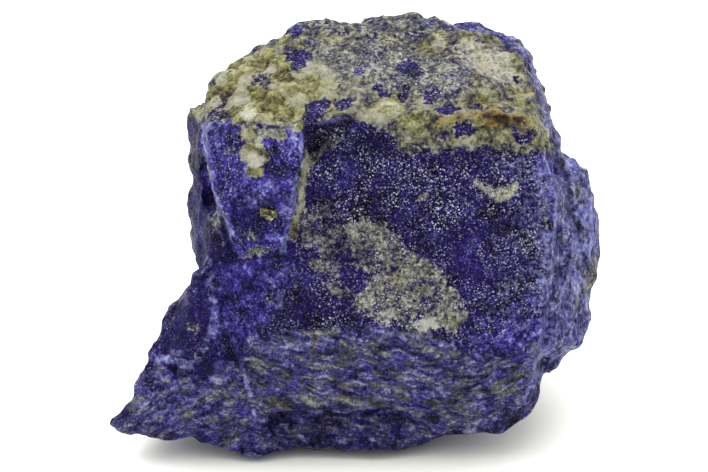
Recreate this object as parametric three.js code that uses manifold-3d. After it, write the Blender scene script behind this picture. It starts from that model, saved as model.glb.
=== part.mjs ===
// A rough lump of lapis lazuli: blue lazurite under a pale calcite cap, as broken from the rock, in mm.
// Every block and hollow is drawn facing the viewer: x to the right, y up, z out of the big face to the eye.
// At the end the stone is laid back on its underside, so that +Z is up, with its origin under its middle.
import * as THREE from "three";
import { ConvexGeometry } from "three/addons/geometries/ConvexGeometry.js";
import { ImprovedNoise } from "three/addons/math/ImprovedNoise.js";
import { TessellateModifier } from "three/addons/modifiers/TessellateModifier.js";
import { mergeVertices } from "three/addons/utils/BufferGeometryUtils.js";
import Module from "manifold-3d";

// Driving dimensions.
const LEAN_BACK = 30; // degrees the big face leans away from upright as the stone lies
const FLOOR_DROP = 25.7; // from the big face's middle down to the surface that the stone rests on
const FACET = 3.7; // longest edge of a facet on the broken surface
const SPLITS = 24; // rounds of halving, more than enough to bring every edge under that
const SWELL = { size: 9, height: 0.55, seed: 5.3 }; // broad swells of the broken surface
const LUMP = { size: 3.2, height: 0.42, seed: 11.9 }; // lumps and dents between them
const SEED_STEPS = [0, 31.7, 67.3]; // keep the noise along x, y and z unlike each other
const WELD = 1e-4; // corners closer than this are one
const GROUND_SIZE = 200; // of the box that cuts the flat spot, wider than the stone

const wasm = await Module();
wasm.setup();

// A copy of a geometry with nothing but its places, and each corner only once.
const welded = (geometry) => {
  const bare = geometry.clone();
  bare.deleteAttribute("normal");
  bare.deleteAttribute("uv");
  return mergeVertices(bare, WELD);
};

const asSolid = (geometry) => {
  const { attributes, index } = welded(geometry);
  return new wasm.Manifold(
    new wasm.Mesh({
      numProp: 3,
      vertProperties: new Float32Array(attributes.position.array),
      triVerts: new Uint32Array(index.array),
    }),
  );
};

const asGeometry = (solid) => {
  const { vertProperties, triVerts } = solid.getMesh();
  return new THREE.BufferGeometry()
    .setAttribute("position", new THREE.BufferAttribute(vertProperties, 3))
    .setIndex(new THREE.BufferAttribute(triVerts, 1));
};

// How far a place moves: smooth noise of the place itself, so that neighbours move together.
const noise = new ImprovedNoise();
const drift = (p, { size, height, seed }) => {
  const along = SEED_STEPS.map((step) =>
    noise.noise(p.x / size + seed + step, p.y / size + (seed + step) / 3, p.z / size - seed - step),
  );
  return new THREE.Vector3(...along).multiplyScalar(height);
};

// A shape's surface broken into small facets and roughened.
const roughened = (geometry) => {
  const surface = welded(new TessellateModifier(FACET, SPLITS).modify(geometry));
  const places = surface.attributes.position;
  const p = new THREE.Vector3();
  for (let i = 0; i < places.count; i += 1) {
    p.fromBufferAttribute(places, i);
    const moved = p.clone().add(drift(p, SWELL)).add(drift(p, LUMP));
    places.setXYZ(i, moved.x, moved.y, moved.z);
  }
  return surface;
};

// A block of stone between its corners, each given as [x, y, z] under the name of its place.
const block = (corners) => {
  const points = Object.values(corners).map((corner) => new THREE.Vector3(...corner));
  return asSolid(roughened(new ConvexGeometry(points)));
};

// An ellipsoid, which scoops a rounded hollow as a conchoidal break does.
const scoop = ({ at, radii, turn = [0, 0, 0] }) => {
  const euler = new THREE.Euler(...turn.map(THREE.MathUtils.degToRad));
  const place = new THREE.Matrix4().compose(
    new THREE.Vector3(...at),
    new THREE.Quaternion().setFromEuler(euler),
    new THREE.Vector3(...radii),
  );
  return asSolid(roughened(new THREE.IcosahedronGeometry(1, 2).applyMatrix4(place)));
};

// The body of the stone: the big dark face, the band that turns under it, and the ridge down its right edge.
const core = block({
  faceTopLeft: [-3.8, 8.2, 1.0],
  faceTopRise: [-1.9, 9.7, 1.4],
  faceTop: [1.6, 11.0, 1.7],
  faceTopRight: [19.3, 7.8, 0.9],
  shoulder: [20.6, 6.0, 0.4],
  ridgeHigh: [20.8, 4.0, 0.1],
  ridgeMiddle: [19.9, -1.4, -0.8],
  ridgeLow: [19.2, -9.0, -2.4],
  faceBottomRight: [18.6, -11.4, -3.0],
  faceBottomMiddle: [3.0, -10.3, -2.2],
  faceBottomLeft: [-10.8, -10.6, -2.8],
  faceLeft: [-9.4, -3.0, -0.8],
  bandRight: [18.1, -15.2, -5.8],
  bandBottomRight: [17.6, -16.8, -7.1],
  bandBottomMiddle: [6.0, -17.8, -7.8],
  bandBottom: [-2.0, -17.6, -7.6],
  bandBottomLeft: [-10.2, -17.6, -7.5],
  backTopLeft: [-12.0, 9.0, -18.0],
  backTopRight: [19.6, 7.0, -17.0],
  backRight: [19.4, -8.0, -18.0],
  backLowRight: [16.0, -14.0, -17.0],
  backLowLeft: [-11.0, -14.0, -18.0],
});

// The heart of the stone, which fills the room between the blocks round it.
const heart = block({
  leftHigh: [-14.4, 11.0, -5.2],
  left: [-15.6, 6.2, -4.6],
  leftMiddle: [-15.2, 0.6, -5.4],
  leftLow: [-13.8, -10.4, -5.6],
  lowLeft: [-11.6, -13.6, -8.0],
  backLeftHigh: [-14.0, 9.6, -14.0],
  backLeftMiddle: [-15.2, -1.4, -17.8],
  backLeft: [-14.6, -8.0, -21.0],
  backLowLeft: [-11.0, -14.0, -22.0],
  rightHigh: [19.4, 6.0, -9.0],
  rightLow: [18.8, -11.0, -8.0],
  backRightHigh: [19.4, 6.0, -18.0],
  backRight: [19.6, -2.0, -21.0],
  backLowRight: [18.2, -11.6, -22.6],
});

// The lobe where the band dips at its lower right.
const lobe = block({
  high: [9.0, -14.0, -4.4],
  left: [5.0, -17.0, -6.9],
  lowLeft: [6.6, -19.0, -8.3],
  low: [8.8, -20.1, -9.0],
  lowRight: [11.8, -19.5, -8.7],
  right: [14.8, -18.4, -7.9],
  rightEnd: [17.7, -16.9, -6.8],
  rightHigh: [17.9, -15.2, -5.6],
  backLeft: [6.0, -17.0, -13.0],
  backRight: [16.0, -14.0, -14.0],
});

// The calcite cap: a steep strip over the big face, and above it the slope up to the crest.
const cap = block({
  stripLowLeft: [4.2, 8.6, 1.9],
  stripLowMiddle: [9.6, 8.2, 1.8],
  stripLowRight: [17.6, 8.4, 1.5],
  stripLowEnd: [19.6, 7.9, 0.6],
  stripHighLeft: [3.6, 11.2, 2.4],
  stripHighMiddle: [9.4, 11.9, 2.2],
  stripHighRight: [14.6, 11.2, 2.0],
  stripHighEnd: [18.6, 10.6, 0.6],
  lipMiddle: [-0.6, 12.3, 2.1],
  lipLeft: [-5.0, 11.6, 2.8],
  shieldTop: [-10.4, 11.6, 2.2],
  shieldTopLeft: [-15.0, 11.6, 0.4],
  slopeLeft: [-15.4, 13.0, -3.0],
  slopeLeftHigh: [-14.2, 15.4, -4.8],
  crestLeft: [-12.0, 17.4, -6.2],
  crestRise: [-8.4, 19.2, -6.8],
  crestMiddle: [-2.4, 20.7, -7.2],
  crestTop: [4.0, 20.9, -7.4],
  crestRight: [12.8, 20.2, -6.8],
  crestShoulder: [16.8, 18.3, -6.0],
  crestFall: [17.8, 16.4, -5.4],
  flank: [18.4, 13.6, -3.6],
  underLeft: [-14.6, 8.0, -8.0],
  underRight: [19.8, 6.0, -8.0],
  backLeft: [-13.0, 13.0, -16.0],
  backRight: [18.0, 13.0, -16.0],
});

// The stone behind the crest, in three humps whose tops show over it.
const crownLeft = block({
  left: [-14.9, 15.3, -7.4],
  leftHigh: [-13.4, 17.4, -8.4],
  rise: [-10.0, 19.4, -9.4],
  shoulder: [-7.5, 20.8, -10.0],
  hump: [-5.4, 21.8, -10.6],
  humpRight: [-2.6, 22.2, -10.6],
  fall: [0.6, 21.5, -10.2],
  front: [-12.6, 14.6, -4.0],
  low: [-15.4, 12.0, -9.0],
  backLeft: [-10.0, 15.6, -15.0],
  backRight: [0.0, 18.0, -16.0],
  backLow: [-12.0, 8.0, -17.0],
});

const crownMiddle = block({
  left: [0.6, 21.4, -10.4],
  hump: [2.8, 22.5, -11.0],
  humpRight: [4.4, 22.2, -11.0],
  fall: [6.6, 21.4, -10.4],
  right: [11.0, 21.2, -10.4],
  front: [4.0, 20.6, -7.6],
  low: [4.0, 12.0, -10.0],
  backLeft: [-2.0, 17.6, -17.0],
  backRight: [10.0, 17.6, -17.0],
});

const crownRight = block({
  left: [8.0, 21.2, -10.2],
  hump: [12.7, 21.7, -10.8],
  shoulder: [16.3, 20.2, -10.4],
  corner: [17.9, 18.8, -10.0],
  fall: [18.8, 16.0, -9.8],
  fallLow: [20.3, 12.0, -9.4],
  waist: [20.3, 10.6, -9.0],
  foot: [21.3, 7.8, -9.0],
  frontLow: [19.8, 8.0, -4.6],
  frontHigh: [17.6, 16.0, -6.6],
  low: [19.0, 2.0, -12.0],
  backLeft: [9.0, 17.4, -17.0],
  backRight: [16.4, 14.0, -17.0],
  backLow: [18.6, 4.0, -20.0],
});

// The saddle that joins the humps to the cap's crest.
const saddle = block({
  frontLeft: [-3.6, 20.7, -7.8],
  frontMiddle: [4.0, 20.9, -8.0],
  frontRight: [12.4, 20.2, -7.6],
  left: [-3.8, 21.2, -10.2],
  middle: [4.0, 21.3, -10.4],
  right: [12.6, 20.9, -10.4],
  backLeft: [-4.6, 18.8, -14.0],
  backRight: [12.0, 18.6, -14.0],
  lowLeft: [-4.6, 15.0, -8.6],
  lowRight: [12.0, 14.4, -9.0],
  backLowLeft: [-4.6, 15.0, -13.6],
  backLowRight: [12.0, 14.0, -14.0],
});

// The proud block at the upper left, whose face is a tapering shield.
const shield = block({
  topLeft: [-14.6, 11.6, 1.2],
  topMiddle: [-10.6, 11.6, 2.6],
  topRight: [-5.0, 11.3, 4.2],
  rightUpper: [-4.9, 9.8, 4.4],
  rightMiddle: [-5.5, 5.6, 3.8],
  rightStep: [-5.9, 3.8, 3.4],
  rightLow: [-6.5, 1.2, 2.2],
  footRight: [-7.1, -1.4, 0.8],
  footLeft: [-12.4, -0.6, -0.4],
  leftLow: [-13.2, 2.4, 0.1],
  leftMiddle: [-14.6, 6.8, 0.9],
  leftHigh: [-15.2, 10.2, 1.1],
  backTopLeft: [-15.2, 11.0, -6.0],
  backTopRight: [-3.9, 10.8, -6.0],
  backRight: [-4.3, 7.0, -6.0],
  backFootRight: [-5.4, -2.0, -6.0],
  backFootLeft: [-12.6, -1.6, -6.0],
});

// The waist that joins the shield's foot to the spur and to the big face.
const waist = block({
  topLeft: [-13.0, -0.4, -0.7],
  top: [-9.8, -0.6, 0.2],
  topRight: [-6.6, -1.4, 0.6],
  right: [-5.0, -3.4, -0.2],
  rightLow: [-7.6, -7.6, -1.0],
  low: [-10.2, -9.8, -2.2],
  leftLow: [-13.0, -8.6, -2.6],
  left: [-14.4, -3.8, -2.2],
  backTop: [-12.0, 0.0, -8.0],
  backRight: [-5.0, -3.0, -8.0],
  backLow: [-10.0, -10.0, -9.0],
});

// The flank that bulges out behind the shield, in an upper and a lower swell.
const flankHigh = block({
  top: [-15.3, 14.0, -6.4],
  topOut: [-16.4, 12.8, -7.6],
  bulge: [-17.0, 11.0, -8.2],
  bulgeLow: [-17.0, 8.4, -8.2],
  waist: [-16.2, 5.4, -7.4],
  frontHigh: [-15.6, 11.2, -2.8],
  frontLow: [-15.4, 6.4, -3.0],
  inner: [-13.4, 13.0, -2.4],
  backHigh: [-14.6, 11.7, -11.7],
  backLow: [-15.2, 5.3, -16.6],
});

const flankLow = block({
  top: [-16.1, 5.6, -7.6],
  bulge: [-16.9, 3.2, -8.8],
  bulgeLow: [-16.7, 1.2, -9.0],
  dip: [-16.0, -0.6, -8.6],
  low: [-15.9, -3.4, -8.2],
  ridgeHigh: [-15.3, 4.4, -4.2],
  ridgeMiddle: [-15.5, 1.2, -4.6],
  ridgeLow: [-14.9, -2.6, -4.0],
  inner: [-13.2, 1.0, -3.4],
  backHigh: [-15.2, 5.3, -16.6],
  backLow: [-14.8, -6.1, -20.8],
});

// The web of stone between the shield's foot, that flank and the spur.
const web = block({
  top: [-13.4, 2.2, -1.3],
  topLeft: [-15.2, 2.6, -4.2],
  left: [-15.4, -0.8, -4.0],
  lowLeft: [-15.0, -3.2, -3.0],
  low: [-13.4, -3.2, -1.8],
  right: [-12.2, -0.6, -1.0],
  rightHigh: [-12.6, 1.4, -1.0],
  back: [-13.0, 0.0, -8.0],
});

// The upper part of the spur at the lower left: a ridge runs down it and curls left into the rim of a bowl.
const spur = block({
  apex: [-14.8, -2.6, -1.8],
  ridgeHigh: [-14.7, -6.2, -1.9],
  ridgeMiddle: [-14.5, -9.4, -2.2],
  ridgeLow: [-15.3, -11.4, -2.8],
  rim: [-16.5, -12.6, -3.3],
  rimLeft: [-18.4, -12.1, -4.6],
  facetHigh: [-17.0, -6.2, -4.2],
  facetLow: [-18.0, -10.6, -4.6],
  outHigh: [-16.0, -3.8, -4.6],
  outMiddle: [-17.4, -6.4, -6.0],
  out: [-19.7, -8.4, -7.0],
  outLow: [-19.9, -10.0, -7.6],
  inner: [-10.6, -3.6, -2.0],
  innerLow: [-10.8, -10.2, -3.2],
  under: [-11.0, -12.4, -6.0],
  back: [-14.5, -3.1, -18.0],
  backLow: [-16.5, -11.9, -20.7],
});

// The small knob on the spur's outline, over the toe.
const knob = block({
  top: [-20.4, -10.6, -6.8],
  out: [-21.4, -11.5, -7.2],
  low: [-21.4, -12.6, -7.2],
  inner: [-19.0, -12.4, -5.4],
  innerHigh: [-19.0, -10.8, -6.0],
  back: [-19.6, -11.6, -10.0],
  backLow: [-20.4, -12.8, -9.0],
});

// The toe below it, which runs out to the tip of the spur. Its right edge stands proud of the band.
const toe = block({
  creaseTop: [-11.4, -12.4, -3.1],
  creaseHigh: [-10.9, -14.4, -4.2],
  creaseMiddle: [-10.4, -17.2, -6.1],
  creaseLow: [-9.9, -19.2, -8.0],
  rim: [-16.4, -12.4, -3.6],
  rimLeft: [-21.2, -12.2, -6.6],
  left: [-22.2, -14.2, -7.4],
  heel: [-22.6, -15.8, -8.0],
  instep: [-23.4, -17.2, -8.6],
  tip: [-24.3, -18.6, -9.2],
  tipUnder: [-23.6, -20.0, -10.0],
  sole: [-19.6, -20.8, -10.4],
  soleMiddle: [-15.5, -21.5, -10.8],
  soleRight: [-11.2, -22.2, -11.2],
  soleEnd: [-8.6, -22.2, -11.3],
  inner: [-7.6, -20.4, -9.8],
  back: [-19.5, -15.2, -19.1],
  backInner: [-10.0, -13.5, -24.0],
});

// The floor of the crack between the spur, the toe and the big face.
const crackFloor = block({
  topLeft: [-12.8, -10.8, -3.6],
  topRight: [-10.8, -10.8, -3.0],
  lowRight: [-10.4, -13.2, -3.9],
  lowLeft: [-12.4, -13.2, -4.2],
  backTopLeft: [-12.8, -10.8, -7.0],
  backTopRight: [-10.6, -10.8, -7.0],
  backLowRight: [-10.4, -13.4, -7.6],
  backLowLeft: [-12.6, -13.4, -7.6],
});

// The rounded nub at the tip.
const tipNub = block({
  top: [-24.0, -16.9, -8.6],
  topInner: [-22.6, -17.0, -8.0],
  front: [-23.8, -18.0, -7.8],
  frontLow: [-23.4, -19.2, -8.2],
  out: [-25.2, -18.0, -9.2],
  outLow: [-24.9, -19.2, -9.5],
  low: [-23.8, -20.0, -9.4],
  inner: [-21.8, -19.0, -8.8],
  back: [-23.2, -18.0, -12.0],
});

// The belly under the band, set back from it, with the flat spot that the stone rests on.
const bellyLeft = block({
  left: [-10.0, -22.1, -11.2],
  middle: [-8.0, -22.2, -11.3],
  right: [-6.2, -21.6, -11.2],
  highLeft: [-10.4, -17.4, -9.8],
  highRight: [-5.0, -16.4, -9.8],
  underLeft: [-10.0, -20.6, -16.0],
  underRight: [-4.0, -20.6, -16.0],
  back: [-8.0, -12.0, -20.0],
});

const belly = block({
  left: [-7.4, -21.4, -11.3],
  middleLeft: [-3.4, -21.5, -11.3],
  middle: [-0.2, -21.9, -11.3],
  middleRight: [4.6, -22.0, -11.3],
  right: [7.8, -21.2, -11.2],
  highLeft: [-8.0, -16.2, -9.6],
  high: [0.0, -16.0, -9.6],
  highRight: [8.0, -16.4, -9.8],
  underLeft: [-9.0, -20.4, -16.0],
  underRight: [9.0, -20.2, -16.0],
  sideRight: [15.0, -15.0, -18.0],
  sideRightHigh: [16.0, -8.0, -14.0],
  sideLeftHigh: [-13.0, -8.0, -14.0],
  sideLeft: [-13.0, -15.0, -19.0],
  backLeft: [-9.0, -13.5, -28.0],
  backRight: [9.0, -13.5, -29.0],
});

// The layer that shows under the band's lower right edge.
const ledge = block({
  left: [7.0, -20.9, -10.9],
  middle: [12.4, -20.6, -10.4],
  right: [15.4, -20.4, -10.4],
  corner: [17.6, -18.7, -10.2],
  out: [18.6, -16.8, -9.8],
  high: [19.0, -12.8, -9.6],
  inner: [7.6, -18.6, -9.4],
  innerRight: [16.6, -16.0, -8.0],
  backLeft: [7.0, -14.0, -18.0],
  backRight: [17.6, -12.0, -18.0],
});

// The rib that folds down the right flank, between the ridge and the block behind.
const rib = block({
  top: [20.9, 6.4, -3.6],
  high: [21.2, 4.2, -3.8],
  middle: [21.3, 0.6, -4.6],
  bend: [21.8, -3.0, -5.8],
  low: [22.2, -7.4, -7.4],
  foot: [22.6, -10.8, -9.2],
  footInner: [19.6, -13.2, -8.6],
  front: [20.4, 4.0, -2.4],
  frontMiddle: [19.9, -3.0, -3.2],
  frontLow: [18.8, -11.4, -5.6],
  backHigh: [19.0, 7.0, -14.0],
  backLow: [18.0, -13.0, -16.0],
});

// The block at the right, well behind the big face.
const rightBlock = block({
  topInner: [20.6, 8.0, -9.0],
  top: [22.8, 8.0, -9.8],
  topOut: [24.0, 6.8, -10.8],
  outHigh: [24.7, 4.4, -11.6],
  out: [25.2, 0.8, -12.6],
  outLow: [25.2, -1.8, -13.0],
  fall: [24.4, -5.0, -12.8],
  fallLow: [23.4, -8.6, -12.2],
  corner: [22.8, -11.8, -11.4],
  under: [21.2, -12.9, -10.8],
  foot: [19.4, -14.4, -10.4],
  frontHigh: [22.0, 5.0, -7.4],
  frontMiddle: [22.4, -1.0, -8.0],
  frontLow: [22.4, -8.0, -9.0],
  backHigh: [19.6, 8.4, -15.9],
  back: [21.6, 1.5, -19.9],
  backLow: [18.6, -7.7, -24.1],
  inner: [17.0, 4.0, -12.0],
});

// The far side of the stone, which the picture doesn't show.
const back = block({
  topLeft: [-11.0, 15.7, -10.6],
  top: [-2.0, 19.8, -11.7],
  topRight: [12.0, 19.0, -13.3],
  backTopLeft: [-8.0, 16.2, -19.5],
  backTopRight: [13.0, 15.9, -20.9],
  leftUpper: [-16.0, 7.3, -12.0],
  leftMiddle: [-15.4, 2.3, -19.4],
  leftBack: [-13.0, 6.6, -22.8],
  leftLow: [-14.5, -9.9, -24.2],
  middleLeft: [-7.0, 6.5, -28.6],
  middleRight: [9.0, 8.4, -28.0],
  rightUpper: [19.4, 9.6, -14.1],
  rightBack: [17.5, 8.8, -22.6],
  rightMiddle: [20.5, -0.1, -23.2],
  rightLow: [17.0, -11.2, -26.1],
  lowLeft: [-8.0, -5.4, -32.0],
  lowRight: [9.0, -4.1, -32.4],
  footLeft: [-8.0, -14.6, -28.0],
  footRight: [8.0, -14.1, -28.9],
  footFrontLeft: [-8.0, -20.6, -17.7],
  footFrontRight: [8.0, -20.1, -18.6],
});

// Two plates that stand proud of it, left by layers that broke away.
const plateHigh = block({
  left: [-10.0, 8.0, -24.2],
  low: [-3.0, 5.0, -30.2],
  right: [6.0, 8.6, -29.6],
  rightHigh: [8.6, 13.0, -25.6],
  high: [0.0, 17.0, -20.6],
  leftHigh: [-7.6, 15.6, -21.6],
  baseLeft: [-6.0, 8.0, -20.0],
  baseRight: [4.0, 8.0, -20.0],
});

const plateLow = block({
  left: [3.0, -5.0, -33.0],
  low: [6.0, -9.6, -30.8],
  right: [14.4, -6.8, -28.6],
  rightHigh: [16.6, 1.2, -25.8],
  high: [12.0, 3.6, -28.8],
  leftHigh: [6.0, 0.0, -31.6],
  base: [9.0, -3.0, -24.0],
});

// Lumps of calcite on the cap, from left to right.
const lumpLeft = block({
  left: [-15.3, 13.4, -2.6],
  leftHigh: [-14.5, 15.6, -3.8],
  high: [-12.8, 17.4, -5.2],
  rightHigh: [-11.0, 17.0, -4.4],
  right: [-10.6, 14.4, -1.0],
  low: [-12.6, 12.6, 0.2],
  base: [-13.0, 14.0, -6.0],
});

const lumpSmall = block({
  left: [-11.8, 11.3, 2.6],
  right: [-9.2, 11.2, 3.1],
  rightHigh: [-9.0, 12.8, 2.2],
  leftHigh: [-11.4, 13.1, 1.4],
  middle: [-10.3, 11.9, 3.5],
  base: [-10.4, 12.0, -1.0],
});

const lumpYellow = block({
  left: [-9.8, 15.0, -0.8],
  low: [-7.6, 13.2, 1.2],
  right: [-5.0, 14.8, -0.6],
  high: [-6.8, 17.2, -3.2],
  topLeft: [-8.4, 15.4, -0.3],
  topLow: [-7.4, 14.4, 0.7],
  topRight: [-6.0, 15.0, 0.0],
  topHigh: [-7.0, 16.2, -1.2],
  base: [-7.4, 15.0, -5.0],
});

const lumpMiddle = block({
  left: [-2.8, 15.4, -1.3],
  low: [0.2, 13.0, 1.3],
  right: [3.4, 14.6, -0.4],
  highRight: [2.4, 17.6, -3.6],
  highLeft: [-1.4, 17.4, -3.4],
  topLeft: [-1.2, 15.4, -0.5],
  topLow: [0.2, 14.2, 0.7],
  topRight: [2.0, 15.0, 0.0],
  topHigh: [0.8, 16.6, -1.8],
  base: [0.4, 15.0, -5.0],
});

const lumpGrey = block({
  left: [7.2, 15.0, -1.2],
  low: [10.0, 13.2, 1.1],
  right: [14.6, 14.0, 0.0],
  rightHigh: [15.4, 16.4, -3.0],
  high: [11.0, 18.0, -4.1],
  leftHigh: [8.0, 17.2, -3.3],
  topLeft: [9.2, 15.6, -0.8],
  topLow: [10.4, 14.4, 0.5],
  topRight: [13.4, 15.0, -0.2],
  topHigh: [11.4, 16.8, -2.2],
  base: [11.0, 15.0, -6.0],
});

const lumpRust = block({
  left: [12.2, 11.6, 2.7],
  right: [17.6, 11.3, 2.2],
  rightHigh: [17.4, 13.2, 0.4],
  leftHigh: [13.0, 13.4, 1.0],
  middle: [15.0, 12.2, 2.7],
  base: [15.0, 12.0, -3.0],
});

const blocks = [
  core,
  heart,
  lobe,
  cap,
  crownLeft,
  crownMiddle,
  crownRight,
  saddle,
  shield,
  waist,
  flankHigh,
  flankLow,
  web,
  spur,
  knob,
  toe,
  crackFloor,
  tipNub,
  bellyLeft,
  belly,
  ledge,
  rib,
  rightBlock,
  back,
  plateHigh,
  plateLow,
  lumpLeft,
  lumpSmall,
  lumpYellow,
  lumpMiddle,
  lumpGrey,
  lumpRust,
];

const hollows = [
  // the shaded hollow low on the shield, where the pyrite sits
  { at: [-9.3, 1.0, 7.0], radii: [6.0, 4.3, 7.0], turn: [0, 0, -6] },
  // the pit between the spur and the band
  { at: [-12.4, -10.6, -1.4], radii: [0.6, 1.4, 1.5], turn: [0, 0, 32] },
  // the bowl swept under the spur's rim
  { at: [-18.0, -13.8, 0.8], radii: [5.6, 2.5, 7.0], turn: [0, 0, -8] },
];

const joined = blocks.reduce((stone, next) => stone.add(next));
const broken = hollows.reduce((stone, hollow) => stone.subtract(scoop(hollow)), joined);

// The flat spot: everything under the surface that the stone rests on is cut away.
const upright = THREE.MathUtils.degToRad(90 - LEAN_BACK);
const ground = new THREE.BoxGeometry(GROUND_SIZE, GROUND_SIZE, GROUND_SIZE);
ground.translate(0, 0, -FLOOR_DROP - GROUND_SIZE / 2);
ground.rotateX(-upright);

const stoneGeometry = asGeometry(broken.subtract(asSolid(ground)));
stoneGeometry.rotateX(upright);
stoneGeometry.computeVertexNormals();
stoneGeometry.computeBoundingBox();
const { min, max } = stoneGeometry.boundingBox;

const stone = new THREE.Mesh(
  stoneGeometry,
  new THREE.MeshStandardMaterial({ color: 0x2c2470, roughness: 0.62, metalness: 0 }),
);
stone.name = "lazurite_stone";
stone.position.set(-(min.x + max.x) / 2, -(min.y + max.y) / 2, -min.z);

const group = new THREE.Group();
group.add(stone);

export default group;
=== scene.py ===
"""A rough lump of lapis lazuli on a white table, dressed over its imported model."""
import math

import bmesh
import bpy
import numpy as np
from mathutils import Matrix, Vector, noise


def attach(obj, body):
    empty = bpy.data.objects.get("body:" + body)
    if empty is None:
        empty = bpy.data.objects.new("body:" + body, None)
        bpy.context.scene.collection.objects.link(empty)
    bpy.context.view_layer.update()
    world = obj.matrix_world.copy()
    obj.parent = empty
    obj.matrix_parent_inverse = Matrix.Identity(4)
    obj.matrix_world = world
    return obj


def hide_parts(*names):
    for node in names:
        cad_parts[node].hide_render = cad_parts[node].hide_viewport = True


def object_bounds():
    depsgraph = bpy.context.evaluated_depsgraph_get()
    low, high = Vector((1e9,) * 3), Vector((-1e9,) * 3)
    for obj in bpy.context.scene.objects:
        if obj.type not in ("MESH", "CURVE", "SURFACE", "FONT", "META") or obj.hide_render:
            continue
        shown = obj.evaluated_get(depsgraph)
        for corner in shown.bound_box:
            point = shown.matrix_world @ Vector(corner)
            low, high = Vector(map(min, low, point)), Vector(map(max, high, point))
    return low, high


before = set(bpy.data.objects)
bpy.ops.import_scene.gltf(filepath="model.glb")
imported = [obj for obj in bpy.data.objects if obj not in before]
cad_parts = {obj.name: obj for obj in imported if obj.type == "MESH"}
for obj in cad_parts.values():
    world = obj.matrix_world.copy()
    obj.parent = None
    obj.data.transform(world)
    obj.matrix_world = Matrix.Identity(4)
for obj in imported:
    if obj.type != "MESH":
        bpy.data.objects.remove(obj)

bl_info = {
    "name": "Lapis lazuli lump",
    "version": (1, 0, 0),
    "blender": (4, 5, 0),
    "location": "3D View > Sidebar > Lapis",
    "description": "A rough lump of lapis lazuli with calcite and a pyrite grain, and a plain stage for it",
    "category": "Add Mesh",
}

MM = 0.001
NODE = "lazurite_stone"
MODEL_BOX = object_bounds()

# The big face, which every patch is drawn on: where its middle is, and how far it leans back.
FACE_MIDDLE = Vector((-0.20, -13.14, 25.70)) * MM
LEAN_BACK = math.radians(30)
FACE_X = np.array((1.0, 0.0, 0.0))
FACE_Y = np.array((0.0, math.sin(LEAN_BACK), math.cos(LEAN_BACK)))
FACE_Z = np.array((0.0, -math.cos(LEAN_BACK), math.sin(LEAN_BACK)))

# The camera looks straight at that face, from far away, and takes in this width of it.
CAMERA_DISTANCE = 1500 * MM
PICTURE_WIDTH = 70.8 * MM
SENSOR_WIDTH = 36.0
CAMERA_REACH = 10000 * MM

# Outlines of the patches, in mm right of and above the face's middle, as seen from the camera.
CAP = [
    (-15.1, 11.6), (-16.9, 11.8), (-15.9, 13.8), (-15.0, 15.4), (-13.2, 17.2), (-10.4, 19.0), (-7.4, 20.2),
    (-2.4, 20.8), (4.6, 21.2), (11.6, 20.8), (15.1, 19.6), (17.4, 17.6), (18.1, 14.4), (19.4, 10.4),
    (20.2, 8.4), (16.6, 8.3), (11.6, 8.5), (5.1, 8.3), (3.8, 9.8), (1.4, 11.2), (-0.9, 11.9), (-3.6, 11.6),
    (-5.4, 10.6), (-9.2, 11.1), (-11.4, 10.9), (-13.9, 11.5),
]
CAP_STRIP = [(3.8, 10.6), (7.6, 11.6), (13.6, 10.8), (18.1, 11.4), (20.4, 8.2), (12.6, 8.2), (4.6, 8.2)]
CAP_CREAM = [
    (-15.6, 13.4), (-13.0, 17.0), (-8.6, 18.6), (-4.0, 17.2), (-1.0, 14.6), (-1.4, 12.2), (-4.4, 12.2),
    (-9.6, 11.2), (-13.0, 12.2),
]
CAP_PALE = [(9.6, 19.8), (15.0, 19.0), (17.0, 16.6), (16.6, 14.2), (14.0, 15.4), (11.0, 17.0)]
WALL_SEAM = [
    (-4.6, 8.6), (-4.1, 7.4), (-4.8, 5.0), (-5.1, 2.1), (-5.7, -0.6), (-6.4, 0.0), (-5.6, 3.1), (-5.3, 6.4),
]
FACE_PATCH = [
    (-0.8, 1.4), (0.8, 2.0), (3.1, 1.5), (4.5, -0.2), (5.1, -1.4), (7.1, -1.7), (8.4, -2.9), (9.3, -4.5),
    (10.2, -5.9), (11.2, -7.6), (11.6, -8.3), (10.7, -9.1), (9.9, -10.1), (8.4, -9.4), (7.0, -9.9),
    (4.6, -9.0), (2.0, -8.4), (1.2, -6.2), (1.8, -4.0), (-0.2, -2.6),
]
FACE_PATCH_DIM = [
    (-5.6, 3.0), (-2.4, 2.5), (-0.8, 1.4), (-0.2, -0.4), (-0.4, -3.2), (-0.9, -5.6), (-2.8, -4.6),
    (-4.6, -3.6), (-5.5, -0.4),
]
FACE_PATCH_LEFT = [(-3.6, -4.4), (-1.4, -5.2), (0.2, -5.6), (-0.4, -6.4), (-2.4, -6.0)]
FACE_PATCH_FOOT = [(-0.2, -6.0), (1.2, -5.4), (2.0, -6.4), (1.8, -8.2), (0.2, -7.6)]
FLECK = [
    (12.0, 5.8), (13.0, 5.3), (13.9, 4.8), (14.7, 5.0), (15.4, 4.7), (16.0, 5.4), (16.6, 5.3), (15.9, 4.0),
    (15.0, 3.3), (14.2, 3.3), (13.2, 4.0), (12.2, 4.9),
]
SMALL_FLECK = [(6.0, 3.8), (6.7, 4.1), (7.4, 4.5), (7.1, 3.3), (6.3, 3.2)]
EDGE_FLECK = [(18.7, 3.2), (19.3, 3.6), (19.6, 2.2), (19.4, 0.4), (18.9, 1.0)]
RUST_LINE = [
    (8.2, 11.6), (10.6, 12.4), (12.4, 12.6), (13.4, 13.1), (14.6, 12.4), (16.1, 12.4), (17.4, 11.9),
    (17.9, 10.7), (16.6, 11.1), (15.1, 10.8), (13.8, 10.7), (12.6, 11.5), (10.6, 11.2), (8.8, 11.0),
]
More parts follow.
